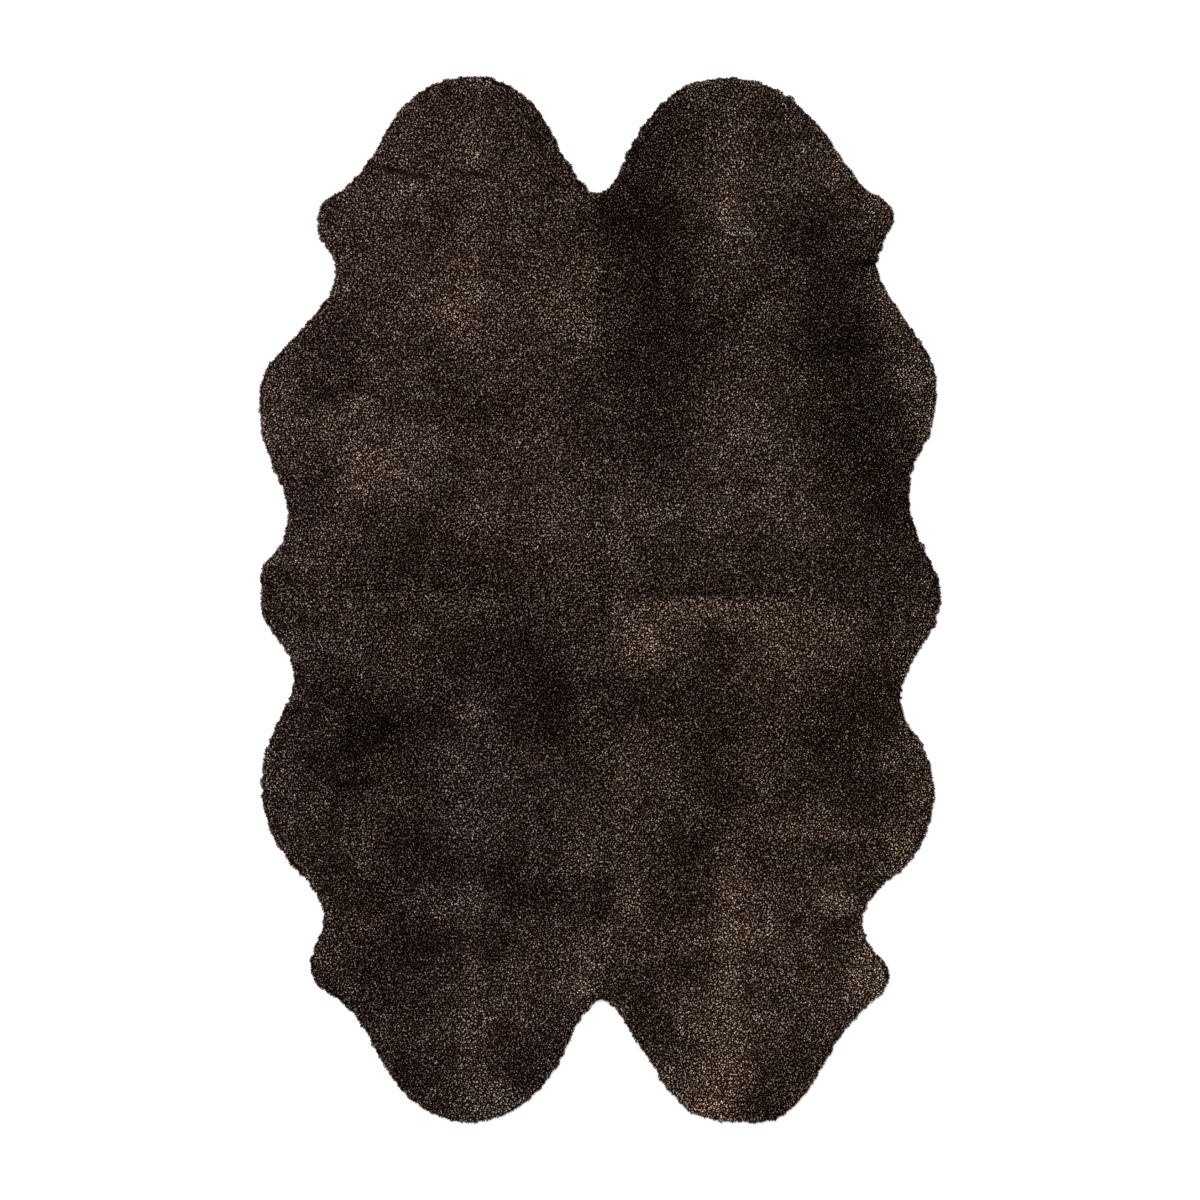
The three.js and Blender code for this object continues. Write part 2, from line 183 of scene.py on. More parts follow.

# Each skin: its overall tone, warmth and pinkness, then soft patches of paler, darker, warmer or cooler
# wool. A patch is its place, x, y, reach across and reach along in millimetres, and its change of tone
# and of warmth. The patches darker in folds, in hollows and on a ridge's dark side are painted shade, and
# the pale folds and a fold's lip are painted light, where light from above would fall on them.
SKINS = {
    "skin_top_left": {"tone": 1.09, "warmth": 0.15, "pink": 0.4, "patches": [
        ("neck ridge, upper", -208, 800, 20, 60, 0.22, 0.1),
        ("neck ridge, lower", -215, 660, 15, 60, 0.22, 0.1),
        ("shoulder ridge", -220, 558, 26, 52, 0.40, 0.4),
        ("shoulder ridge, outer", -262, 515, 28, 22, 0.28, 0.3),
        ("back ridge, upper", -238, 460, 45, 40, 0.22, 0.3),
        ("crown", -250, 868, 20, 22, -0.25, -0.2),
        ("neck, inner", -140, 830, 40, 50, -0.22, -0.1),
        ("neck, inner edge", -98, 808, 14, 20, -0.40, 0.0),
        ("notch side", -85, 718, 18, 38, -0.32, 0.0),
        ("neck, below the crease", -375, 690, 45, 35, 0.14, 0.2),
        ("neck, above the crease", -330, 765, 70, 14, 0.14, 0.3),
        ("neck, low", -268, 668, 32, 32, -0.30, 0.0),
        ("neck, middle", -290, 708, 40, 20, 0.18, 0.1),
        ("shoulder, inner", -172, 576, 30, 20, -0.38, 0.0),
        ("shoulder by the seam", -110, 560, 50, 35, 0.16, 0.4),
        ("seam at the shoulder", -18, 572, 24, 14, 0.38, 0.6),
        ("seam at the neck", -15, 640, 24, 40, -0.25, 0.0),
        ("seam below the shoulder", -45, 482, 38, 30, 0.26, 0.5),
        ("foreleg", -470, 660, 24, 35, -0.15, -0.5),
        ("armpit", -420, 610, 45, 45, 0.10, 0.3),
        ("chest", -465, 440, 28, 40, -0.32, -0.3),
        # Painted shade in the fold, and painted light on its lip
        ("belly, dark fold", -455, 354, 34, 13, -0.65, -0.1),
        ("belly, lip of the fold", -408, 340, 24, 14, 0.42, 0.1),
        ("belly", -430, 280, 90, 32, 0.26, 0.0),
        ("belly, lower", -375, 225, 45, 38, 0.28, 0.4),
        ("belly, lower outer", -430, 190, 22, 16, 0.30, 0.4),
        ("belly edge", -555, 320, 28, 75, 0.22, -0.6),
        ("flank", -500, 205, 32, 26, -0.25, -0.3),
        # Painted shade in the hollow
        ("flank hollow", -512, 150, 24, 30, -0.28, -0.5),
        ("back", -230, 330, 50, 65, -0.36, 0.2),
        ("back, outer", -285, 270, 20, 40, 0.22, -0.2),
        ("back, inner", -130, 270, 60, 40, 0.10, 0.3),
        ("back by the seam", -40, 335, 40, 50, -0.34, -0.3),
        ("rump", -300, 115, 45, 38, -0.42, 0.1),
        ("rump, outer", -395, 145, 20, 22, -0.38, 0.1),
        ("rump, lower outer", -360, 52, 45, 26, -0.45, -0.1),
        ("rump, lower", -180, 48, 80, 34, -0.42, 0.1),
        ("rump, middle", -215, 140, 40, 24, 0.18, 0.3),
        ("rump by the seam", -55, 90, 45, 50, 0.18, 0.3),
        ("haunch", -490, 90, 40, 40, 0.10, -0.4),
        ("haunch edge", -560, 20, 26, 22, -0.28, -0.2),
    ]},
    "skin_top_right": {"tone": 0.88, "warmth": 0.0, "pink": -0.2, "patches": [
        ("crown", 210, 880, 60, 25, 0.15, 0.1),
        ("crown, outer", 285, 860, 30, 20, -0.10, 0.5),
        ("neck, inner", 110, 820, 35, 35, -0.45, -0.1),
        ("neck ridge, top", 215, 775, 40, 40, 0.20, 0.0),
        ("neck ridge, upper", 212, 720, 15, 35, 0.40, 0.0),
        ("neck ridge", 216, 660, 16, 35, 0.65, 0.3),
        ("neck ridge, outer side", 240, 650, 22, 30, 0.25, 0.4),
        ("neck ridge, low", 200, 590, 40, 40, 0.12, -0.1),
        ("neck, outer", 310, 710, 50, 40, 0.15, 0.2),
        ("neck, outer tuft", 338, 768, 20, 14, 0.20, 0.0),
        # Painted shade in the hollow
        ("neck, outer hollow", 300, 790, 25, 30, -0.20, 0.0),
        ("neck edge", 400, 745, 30, 40, 0.22, 0.0),
        ("neck by the seam, darkest", 65, 650, 50, 32, -0.85, 0.3),
        ("neck by the seam", 50, 720, 40, 60, -0.45, 0.0),
        ("shoulder by the seam", 85, 550, 55, 60, -0.60, 0.1),
        ("seam at the shoulder", 40, 505, 18, 22, 0.35, -0.2),
        ("shoulder by the seam, low", 85, 455, 60, 40, -0.40, -0.4),
        ("back by the seam", 100, 380, 60, 50, -0.35, -0.1),
        ("back by the seam, low", 95, 280, 55, 40, -0.35, -0.2),
        ("shoulder, outer", 360, 620, 45, 35, -0.45, -0.3),
        ("shoulder, outer low", 395, 510, 40, 60, -0.55, -0.4),
        ("shoulder, middle", 250, 550, 45, 40, 0.10, -0.2),
        ("shoulder, by the crease", 310, 500, 22, 22, 0.35, -0.1),
        ("flank, top", 420, 435, 35, 30, -0.55, -0.1),
        ("flank", 440, 310, 65, 90, -0.50, -0.1),
        ("flank, low", 470, 210, 50, 50, -0.35, -0.1),
        ("belly edge, tuft", 515, 385, 18, 20, 0.45, -0.2),
        ("belly edge", 555, 350, 26, 60, 0.55, 0.2),
        ("chest edge", 480, 535, 16, 22, 0.45, 0.5),
        ("armpit edge", 505, 450, 22, 26, 0.25, -0.2),
        ("foreleg", 480, 680, 28, 26, 0.45, -0.2),
        ("back", 225, 315, 55, 42, 0.40, 0.1),
        ("back, outer", 290, 270, 60, 60, 0.18, 0.1),
        ("back, tuft", 175, 250, 16, 16, 0.30, 0.3),
        ("rump", 335, 150, 55, 45, 0.32, 0.4),
        ("rump, inner", 225, 150, 40, 50, 0.22, 0.3),
        ("rump by the seam", 90, 150, 55, 50, 0.25, -0.2),
        ("seam at the rump", 25, 115, 20, 40, 0.35, 0.3),
        # Painted shade in the hollow
        ("rump, hollow", 260, 115, 30, 18, -0.25, -0.1),
        ("rump, low", 150, 70, 35, 30, -0.20, 0.0),
        ("rump by the cross seam", 420, 40, 80, 30, -0.15, 0.1),
        ("strip along the cross seam", 200, 14, 130, 14, -0.28, 0.0),
        ("haunch", 500, 140, 35, 45, -0.35, 0.0),
        ("haunch edge", 560, 40, 25, 25, -0.10, -0.3),
    ]},
    "skin_bottom_left": {"tone": 0.81, "warmth": -0.25, "pink": 0.0, "patches": [
        ("seam at the back", -70, -150, 45, 20, -0.60, 0.1),
        ("back by the seam", -95, -210, 40, 30, -0.60, 0.1),
        ("rump by the seam", -130, -100, 50, 40, -0.30, -0.2),
        ("rump", -210, -90, 55, 50, -0.20, 0.1),
        ("rump, outer", -330, -60, 25, 20, 0.25, -0.1),
        ("haunch, inner", -430, -90, 30, 15, 0.20, 0.0),
        ("haunch", -480, -70, 40, 20, 0.25, -0.3),
        ("haunch edge", -525, -100, 20, 25, 0.15, 0.0),
        ("rump, low outer", -360, -130, 25, 20, 0.25, 0.4),
        ("flank, top", -480, -150, 35, 30, -0.30, -0.1),
        ("flank", -420, -220, 50, 35, -0.55, 0.2),
        # Painted light on the fold
        ("flank, pale fold", -470, -215, 12, 30, 0.40, -0.1),
        ("back, outer", -350, -215, 40, 30, -0.50, 0.2),
        ("back ridge, tuft", -225, -190, 15, 18, 0.35, -0.1),
        # Painted shade on the ridge's dark side
        ("back ridge, dark side", -265, -220, 18, 25, -0.30, -0.2),
        ("back ridge", -240, -280, 30, 45, 0.25, -0.2),
        ("back ridge, inner side", -200, -300, 40, 90, 0.08, -0.6),
        ("belly, dark", -450, -300, 40, 35, -0.50, -0.2),
        ("belly, warm", -400, -270, 30, 20, 0.10, 0.6),
        ("back, low outer", -300, -310, 25, 20, -0.40, 0.1),
        ("belly edge", -545, -330, 28, 50, 0.35, -0.4),
        ("belly, warm low", -480, -350, 20, 16, 0.20, 0.7),
        ("belly, inner", -345, -348, 45, 26, 0.14, 0.3),
        ("shoulder, outer", -335, -410, 32, 36, -0.50, 0.1),
        ("shoulder", -280, -455, 28, 28, -0.40, -0.2),
        ("shoulder ridge", -225, -430, 30, 70, 0.12, -0.6),
        ("chest, inner", -405, -410, 22, 22, 0.30, 0.6),
        ("chest", -455, -455, 18, 20, -0.35, 0.0),
        ("chest, low", -395, -515, 25, 25, -0.35, 0.1),
        ("armpit, inner", -410, -540, 30, 15, 0.20, 0.8),
        ("armpit", -465, -545, 12, 15, 0.35, 0.5),
        ("shoulder by the seam", -160, -470, 24, 24, -0.55, 0.2),
        ("shoulder by the seam, low", -115, -505, 45, 26, -0.42, 0.0),
        ("shoulder by the seam, tuft", -125, -462, 14, 16, 0.35, -0.5),
        ("seam at the shoulder", -25, -430, 22, 40, 0.35, 0.4),
        ("seam below the shoulder", 0, -505, 18, 24, -0.60, 0.0),
        ("seam at the neck", -20, -610, 45, 28, 0.60, 0.3),
        ("notch", -45, -660, 35, 20, 0.45, 0.1),
        ("neck, upper", -240, -530, 45, 28, 0.30, -0.3),
        # Painted shade in the hollow
        ("neck, inner hollow", -190, -590, 22, 30, -0.35, 0.0),
        ("neck ridge", -222, -650, 14, 50, 0.40, 0.2),
        ("neck ridge, low", -222, -760, 18, 40, 0.45, 0.3),
        ("neck, outer", -310, -590, 40, 25, -0.45, 0.0),
        ("neck, outer low", -335, -670, 50, 50, -0.20, -0.4),
        ("neck, outer tuft", -265, -725, 28, 22, 0.30, 0.1),
        ("neck, inner", -140, -650, 40, 45, 0.25, 0.1),
        ("neck, inner tuft", -140, -722, 20, 18, 0.25, 0.2),
        ("neck, inner dark tuft", -160, -755, 16, 14, -0.35, 0.1),
        ("crown", -205, -835, 28, 22, 0.55, 0.2),
        ("crown, inner", -180, -870, 50, 25, 0.35, 0.1),
        ("crown, inner dark", -135, -800, 20, 30, -0.30, -0.1),
        ("crown, outer", -320, -815, 26, 26, -0.40, -0.1),
        ("foreleg", -475, -615, 18, 24, 0.35, 0.2),
    ]},
    "skin_bottom_right": {"tone": 1.09, "warmth": 0.45, "pink": 0.0, "patches": [
        ("rump by the seam", 80, -45, 30, 45, 0.36, 0.3),
        ("rump, inner", 105, -80, 40, 20, 0.30, 0.2),
        ("rump, top", 150, -12, 70, 20, 0.50, 0.5),
        ("rump, outer top", 310, -22, 75, 24, 0.45, 0.7),
        ("rump, outer", 330, -110, 45, 40, 0.20, 0.7),
        ("rump, outer tuft", 405, -75, 22, 30, 0.30, 0.3),
        ("rump, dark tuft", 195, -80, 25, 25, -0.45, 0.1),
        ("haunch, inner", 430, 0, 40, 15, -0.35, 0.1),
        ("haunch", 490, -20, 22, 25, -0.40, 0.1),
        # Painted shade in the hollow
        ("flank hollow", 465, -165, 50, 45, -0.60, 0.0),
        ("back by the seam", 50, -175, 24, 24, -0.50, 0.0),
        ("back, inner", 110, -165, 40, 30, -0.35, -0.1),
        ("back", 200, -230, 45, 70, -0.50, 0.0),
        ("back, dark tuft", 152, -245, 18, 18, -0.35, -0.2),
        ("back, low", 215, -325, 35, 30, -0.35, -0.3),
        ("back, outer", 270, -280, 25, 35, 0.20, 0.1),
        ("back by the seam, low", 40, -260, 30, 40, 0.12, 0.0),
        ("seam at the back", 20, -315, 15, 20, 0.30, 0.2),
        ("flank", 430, -270, 55, 60, -0.45, -0.2),
        ("flank, inner", 350, -220, 50, 50, -0.25, 0.0),
        ("belly, grey tuft", 495, -285, 22, 22, 0.35, -0.3),
        ("belly", 465, -355, 30, 35, -0.40, 0.1),
        # Painted shade in the hollow
        ("belly, inner hollow", 325, -340, 20, 20, -0.35, 0.0),
        ("belly, inner tuft", 368, -355, 15, 12, 0.35, 0.2),
        # Painted light on the fold, and painted shade below it
        ("belly, pale fold", 380, -395, 55, 14, 0.45, 0.3),
        ("belly, below the fold", 390, -430, 50, 16, -0.30, 0.0),
        ("belly edge", 540, -330, 22, 30, 0.20, 0.7),
        ("belly edge, low", 510, -420, 40, 25, 0.20, 0.5),
        ("flank edge", 535, -225, 18, 16, 0.45, 0.2),
        ("chest", 455, -500, 15, 20, -0.40, -0.1),
        ("chest, inner", 410, -520, 25, 22, 0.50, 0.2),
        ("armpit", 415, -555, 25, 12, -0.35, 0.0),
        ("foreleg", 470, -640, 35, 35, 0.65, 0.0),
        ("foreleg root", 400, -620, 20, 20, -0.30, 0.1),
        ("shoulder, outer", 280, -565, 30, 28, 0.35, -0.1),
        ("shoulder ridge", 222, -570, 16, 40, 0.55, 0.4),
        ("shoulder ridge, top", 228, -490, 25, 30, 0.30, 0.3),
        ("shoulder, inner", 150, -520, 32, 32, -0.45, 0.1),
        ("shoulder, inner top", 135, -425, 35, 25, -0.45, 0.1),
        ("shoulder, top", 200, -430, 30, 25, -0.30, 0.0),
        ("seam at the shoulder", 0, -505, 18, 24, -0.60, 0.0),
        ("shoulder by the seam", 45, -510, 20, 40, 0.30, -0.3),
        ("seam at the neck", 0, -600, 24, 26, 0.45, 0.2),
        ("neck ridge", 215, -720, 30, 70, 0.55, 0.4),
        ("neck ridge, low", 210, -830, 35, 30, 0.50, 0.4),
        ("crown", 185, -870, 26, 22, 0.75, 0.5),
        ("crown, outer", 275, -865, 25, 22, -0.50, -0.1),
        ("crown, outer edge", 330, -820, 28, 24, -0.40, -0.1),
        ("neck, outer low", 345, -775, 28, 22, -0.35, -0.1),
        ("neck, outer tuft", 290, -720, 18, 14, 0.35, 0.1),
        ("neck, outer", 370, -660, 30, 50, 0.15, 0.3),
        ("neck, inner edge", 80, -735, 24, 30, -0.50, -0.1),
        ("neck, inner", 75, -650, 35, 35, -0.20, -0.2),
        ("neck, inner tuft", 145, -725, 22, 16, 0.30, 0.2),
        ("neck, inner dark tuft", 145, -640, 22, 18, -0.40, 0.1),
    ]},
}

# How far a crease strays from a straight run, and over what length
CREASE_WAVER = 3 * MM
CREASE_WAVER_RUN = 17 * MM

# Creases where the wool parts: their two ends in millimetres, reach to each side, sink and the painted
# shade that darkens the wool along the crease
CREASES = [
    ("top left neck, outer", -402, 752, -360, 737, 2.8, 2.0, 1.4),
    ("top left neck, middle", -362, 738, -338, 733, 2.8, 2.0, 1.4),
    ("top left neck, middle step", -338, 735, -297, 726, 2.8, 2.0, 1.5),
    ("top left neck, inner", -252, 736, -214, 732, 3.0, 1.8, 1.4),
    ("top left neck, inner end", -214, 732, -190, 728, 2.4, 1.4, 1.0),
    ("top right armpit", 474, 580, 440, 579, 3.4, 2.4, 1.8),
    ("top right shoulder, outer", 318, 550, 284, 536, 3.8, 1.8, 1.1),
    ("top right shoulder, middle", 284, 536, 238, 507, 4.0, 1.2, 0.7),
    ("top right shoulder, lower", 262, 505, 225, 483, 4.0, 1.2, 0.6),
    ("top right shoulder, inner", 200, 478, 168, 461, 3.8, 1.2, 0.7),
    ("top right shoulder, inner end", 170, 460, 136, 462, 3.6, 1.8, 1.2),
    ("bottom left belly", -452, -317, -390, -312, 4.6, 1.6, 0.9),
    ("bottom left flank, outer", -430, -203, -431, -256, 4.6, 1.4, 0.8),
    ("bottom left flank, inner", -371, -203, -372, -246, 4.6, 1.4, 0.8),
]


# Shape of the solids

def welded(node):
    """A welded copy of a solid's mesh, as a bmesh."""
    mesh = bmesh.new()
    mesh.from_mesh(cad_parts[node].data)
    bmesh.ops.remove_doubles(mesh, verts=mesh.verts, dist=TOUCHING)
    bmesh.ops.recalc_face_normals(mesh, faces=mesh.faces)
    return mesh


def level_loop(mesh, height):
    """The outline of a solid at one level of its section: its points in order, counter-clockwise."""
    at_level = {v for v in mesh.verts if abs(v.co.z - height) < TOUCHING}
    steps = {v: [] for v in at_level}
    for edge in mesh.edges:
        a, b = edge.verts
        is_side = any(f.normal.z > FACING_DOWN for f in edge.link_faces)
        if a in at_level and b in at_level and is_side:
            steps[a].append(b)
            steps[b].append(a)
    start = min(at_level, key=lambda v: (v.co.x, v.co.y))
    loop = [start]
    before = None
    here = start
    while True:
        onward = [v for v in steps[here] if v is not before]
        before = here
        here = onward[0]
        if here is start:
            break
        loop.append(here)
    points = np.array([v.co.xy for v in loop])
    return points if signed_area(points) > 0 else points[::-1].copy()


def signed_area(loop):
    """Area inside a loop, above zero where it runs counter-clockwise."""
    ahead = np.roll(loop, -1, axis=0)
    return np.sum(loop[:, 0] * ahead[:, 1] - loop[:, 1] * ahead[:, 0]) / 2


def resampled(loop, step):
    """The loop in short even steps."""
    closed = np.concatenate([loop, loop[:1]])
    reach = np.concatenate([[0], np.cumsum(np.linalg.norm(np.diff(closed, axis=0), axis=1))])
    along = np.linspace(0, reach[-1], int(reach[-1] / step), endpoint=False)
    return np.stack([np.interp(along, reach, closed[:, k]) for k in range(2)], 1)


def smoothed(loop, step, reach):
    """An evenly stepped loop, averaged along itself over a soft window."""
    spread = int(3 * reach / step)
    offsets = np.arange(-spread, spread + 1)
    weights = np.exp(-0.5 * (offsets * step / reach) ** 2)
    weights /= weights.sum()
    return sum(weight * np.roll(loop, -offset, axis=0) for weight, offset in zip(weights, offsets))


def outward(loop):
    """Unit vectors out of an evenly stepped loop, one for each point."""
    run = unit(np.roll(loop, -1, axis=0) - np.roll(loop, 1, axis=0))
    return np.stack([run[:, 1], -run[:, 0]], 1)


def tree_of(points):
    """A search tree over flat points."""
    tree = KDTree(len(points))
    for index, (x, y) in enumerate(points):
        tree.insert((x, y, 0), index)
    tree.balance()
    return tree


def nearest(places, tree):
    """Index of the nearest point in the tree and distance to it, for each place seen from above."""
    found = [tree.find((place[0], place[1], 0)) for place in places]
    return np.array([index for _, index, _ in found]), np.array([distance for _, _, distance in found])


def unit(vectors):
    """The same vectors, each one long."""
    return vectors / np.maximum(np.linalg.norm(vectors, axis=1), TINY)[:, None]


def soft_step(share):
    """A rise from 0 to 1 that starts and ends level."""
    share = np.clip(share, 0, 1)
    return share * share * (3 - 2 * share)


def beside(flat, reach, x1, y1, x2, y2):
    """How near each place is to a straight run: 1 on it, fading softly with the distance from it."""
    start = np.array([x1, y1]) * MM
    run = np.array([x2, y2]) * MM - start
    share = np.clip((flat - start) @ run / (run @ run), 0, 1)
    distance = np.linalg.norm(flat - start - share[:, None] * run, axis=1)
    return np.exp(-0.5 * (distance / (reach * MM)) ** 2)


# Where the curls grow

def on_top(solid, flat):
    """Points and normals of a solid's top straight below flat points, without those that miss it."""
    surface = BVHTree.FromBMesh(solid)
    down = Vector((0, 0, -1))
    hits = [surface.ray_cast(Vector((x, y, HIGH_ABOVE)), down)[:2] for x, y in flat]
    hits = [hit for hit in hits if hit[0] is not None]
    return np.array([place for place, _ in hits]), np.array([normal for _, normal in hits])


def field_places(solid, line, seam, random):
    """Points and normals on the top of a solid inside the wool's edge, in uneven rows one curl apart."""
    low = line.min(0)
    high = line.max(0)
    columns = np.arange(low[0], high[0], CURL_PITCH)
    rows = np.arange(low[1], high[1], CURL_PITCH * math.sqrt(3) / 2)
    x, y = np.meshgrid(columns, rows)
    x[1::2] += CURL_PITCH / 2
    flat = np.stack([x.ravel(), y.ravel()], 1)
    flat += random.uniform(-CURL_JITTER, CURL_JITTER, flat.shape) * CURL_PITCH
    places, normals = on_top(solid, flat)
    index, from_rim = nearest(places, tree_of(line))
    is_inside = ((places[:, :2] - line[index]) * outward(line)[index]).sum(1) < 0
    _, from_seam = nearest(places, seam)
    is_by_seam = from_seam < from_rim + SEAM_REACH
    keep = is_inside & (from_rim > np.where(is_by_seam, SEAM_INSET, EDGE_INSET))
    return places[keep], normals[keep]


def seam_places(solid, rim, seam, random):
    """Points and normals along the sewn edges, for the curls that close over them."""
    _, from_seam = nearest(rim, seam)
    sewn = np.flatnonzero(from_seam < SEAM_REACH)[::int(SEAM_CURL_PITCH / LOOP_STEP)]
    inset = random.uniform(*SEAM_CURL_INSET, len(sewn))
    places, normals = on_top(solid, rim[sewn] - inset[:, None] * outward(rim)[sewn])
    return places - SEAM_CURL_SINK * normals, normals


def wool_edge(rim, seam):
    """The skin's edge with the solid's locks evened out, then pulled in place and drawn out in tufts."""
    _, from_seam = nearest(rim, seam)
    freedom = soft_step(from_seam / RIM_EVENING_RUN_IN)
    even = smoothed(rim, LOOP_STEP, RIM_EVENING_REACH)
    even = 2 * even - smoothed(even, LOOP_STEP, RIM_EVENING_REACH)
    line = rim + freedom[:, None] * (even - rim)
    for _, x, y, reach, across, along in EDGE_PULLS:
        share = np.exp(-0.5 * ((line - (x * MM, y * MM)) ** 2).sum(1) / (reach * MM) ** 2)
        line = line + np.outer(share, (across * MM, along * MM))
    tuft = RIM_TUFT * (RIM_TUFT_LEVEL - np.abs(clump_noise(line, RIM_TUFT_RUN, TUFT_CHANNEL)))
    tuft = tuft + RIM_WAVER * clump_noise(line, RIM_WAVER_RUN, WAVER_CHANNEL)
    return line + (tuft * freedom)[:, None] * outward(smoothed(line, LOOP_STEP, RIM_CURL_PITCH))


def rim_places(line, seam, random):
    """Points, normals and share of light down the free edge of the wool, in rows above each other."""
    _, from_seam = nearest(line, seam)
    out = outward(smoothed(line, LOOP_STEP, RIM_EVENING_REACH))
    stride = RIM_CURL_PITCH / LOOP_STEP
    count = int(len(line) / stride)
    places = []
    normals = []
    light = []
    for row in RIM_ROWS:
        along = (np.arange(count) + random.uniform(-CURL_JITTER, CURL_JITTER, count)) * stride
        index = along.astype(int) % len(line)
        index = index[from_seam[index] > EDGE_INSET]
        inset = row["inset"] + random.uniform(-1, 1, len(index)) * RIM_UNEVENNESS
        height = row["height"] + random.uniform(-1, 1, len(index)) * RIM_UNEVENNESS
        places.append(np.column_stack([line[index] - inset[:, None] * out[index], height]))
        normals.append(np.column_stack([out[index], np.full(len(index), row["up"])]))
        light.append(np.full(len(index), row["light"]))
    return np.concatenate(places), unit(np.concatenate(normals)), np.concatenate(light)


def clump_noise(places, across, channel):
    """Smooth noise at each place seen from above, with clumps about as far across as asked."""
    flat = places[:, :2] / across
    return np.array([noise.noise(Vector((x, y, channel * CHANNEL_STEP))) for x, y in flat])


def wool_growth(places, skin, seam):
    """Tone, warmth, pinkness and lift of the wool at each place, from patches, clumps and creases, with
    painted shade darkening the creases.
    """
    _, from_seam = nearest(places, seam)
    own = soft_step(from_seam / SEAM_MIX_REACH)
    base, warmth, pink = (SEAM_MIX[key] + (skin[key] - SEAM_MIX[key]) * own for key in SEAM_MIX)
    lift = SEAM_FILL * (1 - soft_step(from_seam / SEAM_FILL_REACH))
    tone = np.zeros(len(places))
    for _, x, y, across, along, tone_change, warmth_change in skin["patches"]:
        far_x = (places[:, 0] - x * MM) / (across * MM)
        far_y = (places[:, 1] - y * MM) / (along * MM)
        share = np.exp(-0.5 * (far_x ** 2 + far_y ** 2))
        tone += PATCH_TONE * tone_change * share
        warmth += warmth_change * share
    tone = PATCH_LIMIT * np.tanh(tone / PATCH_LIMIT)
    for channel, clump in enumerate(CLUMPS):
        rise = clump_noise(places, clump["across"], channel)
        tone += clump["tone"] * rise
        lift += clump["lift"] * rise
        warmth += clump["warmth"] * clump_noise(places, clump["across"], channel + WARMTH_CHANNEL)
        pink += clump["pink"] * clump_noise(places, clump["across"], channel + PINK_CHANNEL)
    warmth += TONE_WARMTH * tone
    wavered = places[:, :2] + CREASE_WAVER * np.stack(
        [clump_noise(places, CREASE_WAVER_RUN, channel) for channel in CREASE_CHANNELS], 1)
    for _, x1, y1, x2, y2, reach, sink, crease_shade in CREASES:
        share = beside(wavered, reach, x1, y1, x2, y2)
        # Painted shade along the crease, besides its real sink
        tone -= crease_shade * share
        lift -= sink * MM * share
    return base * np.exp(tone), warmth, pink, lift


# Wool and hide meshes

CURL_FACES = np.array([
    [0, 2, 1], [0, 3, 2], [0, 1, 3],
    [1, 2, 4], [2, 3, 4], [3, 1, 4],
])
# Root, ridge, two cheeks and tip: a painted highlight on the ridge and painted shade on the cheeks, tip and
# root
CURL_LIGHT = [ROOT_LIGHT, RIDGE_LIGHT, CHEEK_LIGHT, CHEEK_LIGHT, TIP_LIGHT]


def curl_points(places, normals, comb, lift, random):
    """Corners of every curl: its root, a ridge and two cheeks around its middle, and its tip."""
    count = len(places)
    size = CURL_RADIUS * (1 + CURL_SIZE_SPREAD * random.uniform(-1, 1, count))[:, None]
    turn = random.uniform(0, 2 * math.pi, count)
    any_way = np.stack([np.cos(turn), np.sin(turn), np.zeros(count)], 1) + comb
    ahead = unit(any_way - normals * np.sum(any_way * normals, 1)[:, None])
    side = np.cross(normals, ahead)
    bend = CURL_BEND * random.uniform(-1, 1, count)[:, None]
    rise = (lift + random.uniform(-1, 1, count) * CURL_LIFT - CURL_SINK)[:, None]
    wide = math.sqrt(3) / 2

    root = places - normals * CURL_DEPTH
    middle = places + normals * rise - ahead * size * 0.5
    tip = middle + (ahead * CURL_REACH + side * bend - normals * CURL_DROOP) * size
    ridge = middle + normals * size
    right = middle - (normals * 0.5 + side * wide) * size
    left = middle - (normals * 0.5 - side * wide) * size
    return np.stack([root, ridge, right, left, tip], 1)


def curl_map():
    """Where each corner of a curl's faces lies in its own cell of the bake map: three below, three above."""
    margin = 0.05
    width = 0.3
    lefts = [margin + width * k for k in range(3)]
    below = [[(left + width / 2, margin), (left + width, 0.45), (left, 0.45)] for left in lefts]
    above = [[(left, 0.5), (left + width, 0.5), (left + width / 2, 1 - margin)] for left in lefts]
    return np.array(below + above)


def underwool(solid, rim, line, seam):
    """The felted wool under the curls: the solid drawn in along its normals, standing on the hide."""
    floor = HIDE_THICKNESS + HIDE_CLEARANCE
    solid.normal_update()
    solid.verts.index_update()
    before = np.array([v.co for v in solid.verts])
    is_rim = before[:, 2] < BROW_FLOOR
    depth = np.where(is_rim, UNDERWOOL_RIM_DEPTH, UNDERWOOL_DEPTH)
    shift = depth[:, None] * np.array([v.normal for v in solid.verts])
    _, from_seam = nearest(before, seam)
    is_sewn = from_seam < SEAM_REACH
    shift[is_sewn] = 0
    shift[is_sewn & ~is_rim, 2] = UNDERWOOL_DEPTH
    places = before - shift
    index, _ = nearest(before, tree_of(rim))
    places[is_rim, :2] += (line - rim)[index][is_rim]
    places[before[:, 2] < TOUCHING, 2] = floor
    places[:, 2] = np.maximum(places[:, 2], floor)
    faces = np.array([[v.index for v in f.verts] for f in solid.faces])
    return places, faces


def add_values(mesh, name, values):
    """Named values kept at the points of a mesh, for its material to read."""
    layer = mesh.attributes.new(name, "FLOAT", "POINT")
    layer.data.foreach_set("value", np.asarray(values, np.float32))


